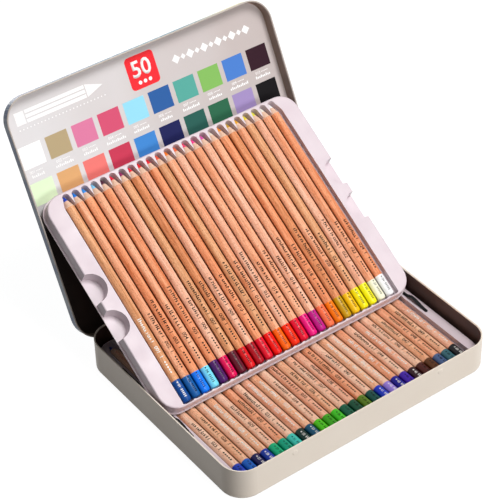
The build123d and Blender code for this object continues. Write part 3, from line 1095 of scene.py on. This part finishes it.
@dataclass(frozen=True)
class ColourChart:
    """The print inside the lid: samples, their numbers, a badge and plain ornaments.

    Places are measured to the right from the panel's middle and upwards from the hinge's side.
    """

    seat: Seat
    film: float = 0.04 * MM
    columns: int = 10
    left: float = -112.7 * MM
    top: float = 152.8 * MM
    column_pitch: float = 22.73 * MM
    row_pitch: float = 28.11 * MM
    sample_width: float = 18.7 * MM
    sample_height: float = 17.0 * MM
    number_height: float = 2.2 * MM
    number_inset: float = 3.0 * MM
    number_drop: float = 4.1 * MM
    number_dots: int = 5
    number_dot_start: float = 1.6 * MM
    number_dot_pitch: float = 1.25 * MM
    number_dot_rise: float = 1.0 * MM
    number_dot_radius: float = 0.4 * MM
    stroke_pitch: float = 1.55 * MM
    stroke_width: float = 1.05 * MM
    stroke_drop: float = 3.4 * MM
    stroke_heights: tuple[float, float, float] = (2.2 * MM, 1.5 * MM, 1.5 * MM)
    strokes_least: int = 7
    strokes_more: int = 5
    badge_place: tuple[float, float] = (-10.0 * MM, 157.6 * MM)
    badge_size: float = 25.4 * MM
    badge_corner: float = 3.3 * MM
    badge_figures: tuple[float, float] = (3.5 * MM, 9.2 * MM)
    badge_figure_height: float = 12.6 * MM
    badge_weight: float = 0.35 * MM
    badge_dots: tuple[float, float] = (8.2 * MM, 4.6 * MM)
    badge_dot_pitch: float = 4.5 * MM
    badge_dot_radius: float = 1.5 * MM
    drawing_place: tuple[float, float] = (-107.0 * MM, 167.8 * MM)
    drawing_length: float = 75.0 * MM
    drawing_height: float = 9.8 * MM
    drawing_gap: float = 0.9 * MM
    drawing_stripes: int = 3
    butt_share: float = 0.8
    barrel_share: float = 0.68
    line_place: tuple[float, float] = (-106.0 * MM, 164.3 * MM)
    line_dots: int = 25
    line_pitch: float = 3.05 * MM
    line_dot_radius: float = 0.55 * MM
    squares_place: tuple[float, float] = (32.6 * MM, 168.0 * MM)
    squares: int = 11
    squares_pitch: float = 6.5 * MM
    square_sides: tuple[float, float] = (5.2 * MM, 3.2 * MM)

    def corner(self, index: int) -> tuple[float, float]:
        """Finds the upper left corner of a sample from its place in the list of inks."""
        row, column = divmod(index, self.columns)
        return self.left + column * self.column_pitch, self.top - row * self.row_pitch

    def samples(self) -> None:
        """Prints the rows of colour samples, each in its own ink."""
        marks = FlatMarks()
        for index in range(len(CHART_INKS)):
            x, y = self.corner(index)
            marks.bar(x, y - self.sample_height, self.sample_width, self.sample_height)
            for face in marks.bm.faces[index:]:
                face.material_index = index
        inks = [PrintInk(f"offset_ink_{name}", ink, ink).build() for name, ink in CHART_INKS.items()]
        self.lay(marks, "lid_colour_samples", inks)

    def sample_numbers(self, white: Material) -> None:
        """Prints a plain number and two rows of small marks under each sample.

        Args:
            white: The ink.
        """
        marks = FlatMarks()
        for index in range(len(CHART_INKS)):
            left, top = self.corner(index)
            y = top - self.sample_height - self.number_drop
            end = marks.figures(f"{index + 1:03d}", left + self.number_inset, y, self.number_height)
            for step in range(self.number_dots):
                x = end + self.number_dot_start + step * self.number_dot_pitch
                marks.dot(x, y + self.number_dot_rise, self.number_dot_radius, sides=8)
            strokes = self.strokes_least + index * 3 % self.strokes_more
            start = left + (self.sample_width - strokes * self.stroke_pitch) / 2
            for step in range(strokes):
                height = self.stroke_heights[(step + index) % 3]
                x = start + step * self.stroke_pitch
                marks.bar(x, y - self.stroke_drop, self.stroke_width, height)
        self.lay(marks, "lid_sample_numbers", [white])

    def badge(self, red: Material) -> None:
        """Prints the rounded red square that carries the number of pencils.

        Args:
            red: The ink.
        """
        marks = FlatMarks()
        marks.bar(*self.badge_place, self.badge_size, self.badge_size)
        bmesh.ops.bevel(
            marks.bm, geom=marks.bm.verts[:], affect="VERTICES", offset=self.badge_corner, segments=6,
            profile=0.5, material=-1,
        )
        self.lay(marks, "lid_badge", [red])

    def badge_number(self, white: Material) -> None:
        """Prints the number of pencils on the badge, with three dots under it.

        Args:
            white: The ink.
        """
        marks = FlatMarks()
        x, y = self.badge_place
        right, up = self.badge_figures
        marks.figures("50", x + right, y + up, self.badge_figure_height, self.badge_weight)
        right, up = self.badge_dots
        for step in range(3):
            marks.dot(x + right + step * self.badge_dot_pitch, y + up, self.badge_dot_radius, sides=20)
        self.lay(marks, "lid_badge_number", [white], films=2)

    def ornaments(self, white: Material) -> None:
        """Prints an outline of a pencil over a line of dots, and a row of squares on their corners.

        Args:
            white: The ink.
        """
        marks = FlatMarks()
        self.draw_pencil(marks)
        start, y = self.line_place
        for step in range(self.line_dots):
            marks.dot(start + step * self.line_pitch, y, self.line_dot_radius, sides=8)
        start, y = self.squares_place
        for step in range(self.squares):
            radius = self.square_sides[step % 2] / math.sqrt(2)
            marks.dot(start + step * self.squares_pitch, y, radius, sides=4)
        self.lay(marks, "lid_ornaments", [white])

    def draw_pencil(self, marks: FlatMarks) -> None:
        """Draws the flat shape of a pencil that points to the right.

        Args:
            marks: The marks that it is added to.
        """
        x, y = self.drawing_place
        height = self.drawing_height
        stripe = (height - (self.drawing_stripes - 1) * self.drawing_gap) / self.drawing_stripes
        marks.bar(x, y, height * self.butt_share, height)
        start = x + height * self.butt_share + self.drawing_gap
        length = self.drawing_length * self.barrel_share
        for step in range(self.drawing_stripes):
            marks.bar(start, y + step * (stripe + self.drawing_gap), length, stripe)
        cone = start + length + self.drawing_gap
        corners = ((cone, y), (x + self.drawing_length, y + height / 2), (cone, y + height))
        marks.bm.faces.new([marks.bm.verts.new((right, up, 0.0)) for right, up in corners])

    def lay(self, marks: FlatMarks, name: str, materials: list[Material], films: int = 1) -> None:
        """Gives marks their thickness and sets them on the lid's panel, to ride with the lid.

        Args:
            marks: The flat marks.
            name: The piece's name.
            materials: Its material slots, in order.
            films: How many printed films they are made of, counted from the panel.
        """
        bm = marks.bm
        grown = bmesh.ops.extrude_face_region(bm, geom=bm.faces[:])
        tops = [item for item in grown["geom"] if isinstance(item, BMVert)]
        bmesh.ops.translate(bm, vec=(0.0, 0.0, self.film * films), verts=tops)
        bmesh.ops.recalc_face_normals(bm, faces=bm.faces[:])
        bmesh.ops.transform(bm, matrix=self.seat.matrix(), verts=bm.verts[:])
        piece = keep_mesh(bm, name, materials)
        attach(piece, "lid")
        log.info("%s: %d faces", name, len(piece.data.polygons))

    def build(self) -> None:
        """Prints the whole panel."""
        white = PrintInk("offset_ink_paper_white", "#FBFAFA", "#F1EEEE").build()
        red = PrintInk("offset_ink_signal_red", "#F5343C", "#EC2A33", roughness=0.4).build()
        self.samples()
        self.sample_numbers(white)
        self.badge(red)
        self.badge_number(white)
        self.ornaments(white)


@dataclass(frozen=True)
class Tin:
    """The base, the lid and their hinge wires, which keep their CAD shapes."""

    sheet: float = 0.35 * MM
    base_corner: float = 17.5 * MM
    base_foot: float = 1.2 * MM
    base_curl: float = 1.2 * MM
    lid_corner: float = 18.25 * MM
    lid_height: float = 9.8 * MM
    lid_edge: float = 1.5 * MM
    lid_curl: float = 1.2 * MM
    curl_reach: float = 0.85 * MM
    snap_proud: float = 0.25 * MM

    def lid_seat(self, frame: dict[str, Any]) -> Seat:
        """Finds the inside face of the lid's panel, from its CAD node and its hinge.


        Returns:
            A seat at the hinge side of the panel: right, towards the free edge, out of the panel.
        """
        hinge = next(joint for joint in frame["joints"] if joint["name"] == "lid_hinge")
        turn = math.radians(hinge["range_deg"][1])
        outward = Vector((0.0, math.sin(turn), math.cos(turn)))
        along = Vector((0.0, -math.cos(turn), math.sin(turn)))
        lid = frame["nodes"]["lid_tin"]
        start = reach(lid, along)[0] + self.curl_reach
        panel = reach(lid, outward)[1] - self.sheet
        return Seat(along * start + outward * panel, RIGHT, along, -outward)

    def build(self, frame: dict[str, Any], seat: Seat) -> None:
        """Gives the tin's CAD nodes their finishes.

        Args:
            seat: The lid's panel, from lid_seat().
        """
        low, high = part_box("base_tin")
        base = PanShape(
            high[0] - low[0], 2 * (abs(low[1]) - self.snap_proud), self.base_corner, high[2] - low[2],
            self.base_foot, self.base_curl, self.sheet,
        )
        dress(frame["nodes"]["base_tin"], BaseEnamel(base).build())
        low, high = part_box("lid_tin")
        lid = frame["nodes"]["lid_tin"]
        start, end = reach(lid, seat.along)
        depth = end - start - 2 * self.curl_reach
        pan = PanShape(
            high[0] - low[0] - 2 * self.curl_reach, depth, self.lid_corner, self.lid_height,
            self.lid_edge, self.lid_curl, self.sheet,
        )
        middle = seat.at(0.0, depth / 2, self.lid_height - self.sheet)
        tilt = math.atan2(-seat.along.z, -seat.along.y)
        dress(lid, LidEnamel(pan, middle, tilt).build())
        wire = ZincWire().build()
        for side in ("left", "right"):
            dress(frame["nodes"][f"hinge_pin_{side}"], wire)


@dataclass(frozen=True)
class Trays:
    """The two formed trays and the lift straps, which keep their CAD shapes."""

    trays: tuple[str, str] = ("upper_tray", "lower_tray")
    straps: tuple[str, str] = ("lift_strap_left", "lift_strap_right")

    def build(self, frame: dict[str, Any]) -> None:
        """Gives the trays and straps their finishes.
        """
        plastic = FormedPlastic().build()
        tape = WovenTape().build()
        for name in self.trays:
            dress(frame["nodes"][name], plastic)
        for name in self.straps:
            dress(frame["nodes"][name], tape)


def looking(tree: NodeTree) -> NodeSocket:
    """Tells the rays that see the background from those that carry its light.

    Args:
        tree: The node tree that gets the nodes.

    Returns:
        A value that is 1 for camera, glossy and transmission rays.
    """
    seen = add_node(tree, "LightPath", {}, "Is Camera Ray")
    for ray in ("Is Glossy Ray", "Is Transmission Ray"):
        seen = add_node(tree, "Math", {0: seen, 1: add_node(tree, "LightPath", {}, ray)}, operation="MAXIMUM")
    return seen


@dataclass(frozen=True)
class Paper:
    """Matt white backdrop paper: no shine, with faint fibres, and white where nothing shades it."""

    colour: str = "#747474"
    fibre_colour: str = "#6E6E6E"
    # Paper fibres are finer than this, too fine to show
    fibre: float = 2 * MM
    glow: float = 0.95

    def build(self) -> Material:
        """Makes the floor's material.

        Returns:
            The material.
        """
        material, tree, place = new_material("matt_white_paper")
        fibre = add_node(tree, "TexNoise", {"Vector": place, "Scale": 1 / self.fibre, "Detail": 2.0})
        glow = add_node(tree, "Math", {0: looking(tree), 1: self.glow}, operation="MULTIPLY")
        coat(tree, self.colour, [(fibre, self.fibre_colour)], {
            "Roughness": 0.9, "Specular IOR Level": 0.0, "Emission Color": "#FFFFFF",
            "Emission Strength": glow,
        })
        return material


@dataclass(frozen=True)
class Studio:
    """A plain white floor, soft lamps and the camera."""

    camera_place: tuple[float, float, float] = (-0.644826, -0.853440, 0.983788)
    azimuth: float = math.radians(-35.963)
    elevation: float = math.radians(39.244)
    roll: float = math.radians(-1.554)
    focal: float = 1959.208
    middle: tuple[float, float] = (257.039, 247.494)
    image: tuple[int, int] = (484, 500)
    sensor: float = 36.0
    nearest: float = 0.01
    aim: tuple[float, float, float] = (0.0, 0.02, 0.06)
    floor_half: float = 6.0
    floor_gap: float = 0.2 * MM
    world_light: float = 0.2

    def camera(self) -> None:
        """Stands the camera where the photograph was taken from."""
        ahead = Vector((
            -math.sin(self.azimuth) * math.cos(self.elevation),
            math.cos(self.azimuth) * math.cos(self.elevation),
            -math.sin(self.elevation),
        ))
        level = Vector((math.cos(self.azimuth), math.sin(self.azimuth), 0.0))
        upward = level.cross(ahead)
        right = level * math.cos(self.roll) + upward * math.sin(self.roll)
        up = upward * math.cos(self.roll) - level * math.sin(self.roll)
        wide, tall = self.image
        data = bpy.data.cameras.new("photo_camera")
        data.sensor_width = self.sensor
        data.lens = self.focal / tall * self.sensor
        data.shift_x = (wide / 2 - self.middle[0]) / tall
        data.shift_y = (self.middle[1] - tall / 2) / tall
        data.clip_start = self.nearest
        holder = bpy.data.objects.new("photo_camera", data)
        turn = Matrix((right, up, -ahead)).transposed().to_4x4()
        holder.matrix_world = Matrix.Translation(self.camera_place) @ turn
        bpy.context.scene.collection.objects.link(holder)
        bpy.context.scene.camera = holder

    def lamp(self, name: str, place: Vector, size: float, watts: float) -> None:
        """Hangs a soft square lamp that faces the object.

        Args:
            name: The lamp's name.
            place: Where it hangs.
            size: The side of the square.
            watts: Its power.
        """
        data = bpy.data.lights.new(name, "AREA")
        data.size = size
        data.energy = watts
        holder = bpy.data.objects.new(name, data)
        turn = (Vector(self.aim) - place).to_track_quat("-Z", "Y").to_matrix().to_4x4()
        holder.matrix_world = Matrix.Translation(place) @ turn
        bpy.context.scene.collection.objects.link(holder)

    def floor(self) -> None:
        """Lays a pale floor that shows white where no shadow falls."""
        bm = bmesh.new()
        place = Matrix.Translation((0.0, 0.0, -self.floor_gap))
        bmesh.ops.create_grid(bm, x_segments=1, y_segments=1, size=self.floor_half, matrix=place)
        material = Paper().build()
        keep_mesh(bm, "floor", [material])

    def world(self) -> None:
        """Lights the scene evenly, and shows white behind it."""
        world = bpy.data.worlds.new("studio")
        world.use_nodes = True
        tree = world.node_tree
        tree.nodes.clear()
        strength = add_node(tree, "MapRange", {0: looking(tree), "To Min": self.world_light, "To Max": 1.0})
        back = add_node(tree, "Background", {"Color": "#FFFFFF", "Strength": strength})
        feed(tree.nodes.new("ShaderNodeOutputWorld"), {"Surface": back})
        bpy.context.scene.world = world

    def build(self) -> None:
        """Sets up the whole studio."""
        self.camera()
        self.world()
        self.floor()
        for name, (place, size, watts) in LAMPS.items():
            self.lamp(name, Vector(place), size, watts)
        bpy.context.scene.view_settings.view_transform = "Standard"
        log.info("studio: floor, %d lamps and camera", len(LAMPS))


def main() -> None:
    """Builds the dressed pencil tin around its frame."""
    logging.basicConfig(level=logging.INFO, format="%(name)s: %(message)s")
    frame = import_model()
    Studio().build()
    tin = Tin()
    panel = tin.lid_seat(frame)
    tin.build(frame, panel)
    Trays().build(frame)
    black = PrintInk("pad_printed_black", "#120E0D", "#241B17").build()
    silver = PrintInk("silver_foil", "#EEEBE6", "#B4ACA3", metallic=0.1).build()
    # The upper pencils lie square to the way that they lift out
    lift = next(joint for joint in frame["joints"] if joint["name"] == "pencil_lift_01")
    out = Vector(lift["axis"]).normalized()
    along = Vector((0.0, out.z, -out.y))
    upper = PencilRow("upper", along, out, UPPER_PENCILS, "upper_pencil_{:02d}", 1, cap_length=17.3 * MM)
    upper.build(frame, black, silver)
    # The lower pencils lie level in the tin
    pencils = {name: (paint, paint, shade) for name, (paint, shade) in LOWER_PENCILS.items()}
    level = Vector((0.0, 1.0, 0.0))
    up = Vector((0.0, 0.0, 1.0))
    lower = PencilRow("lower", level, up, pencils, "tin", len(UPPER_PENCILS) + 1, cap_length=18.8 * MM)
    lower.build(frame, black, silver)
    ColourChart(panel).build()


if __name__ == "__main__":
    main()
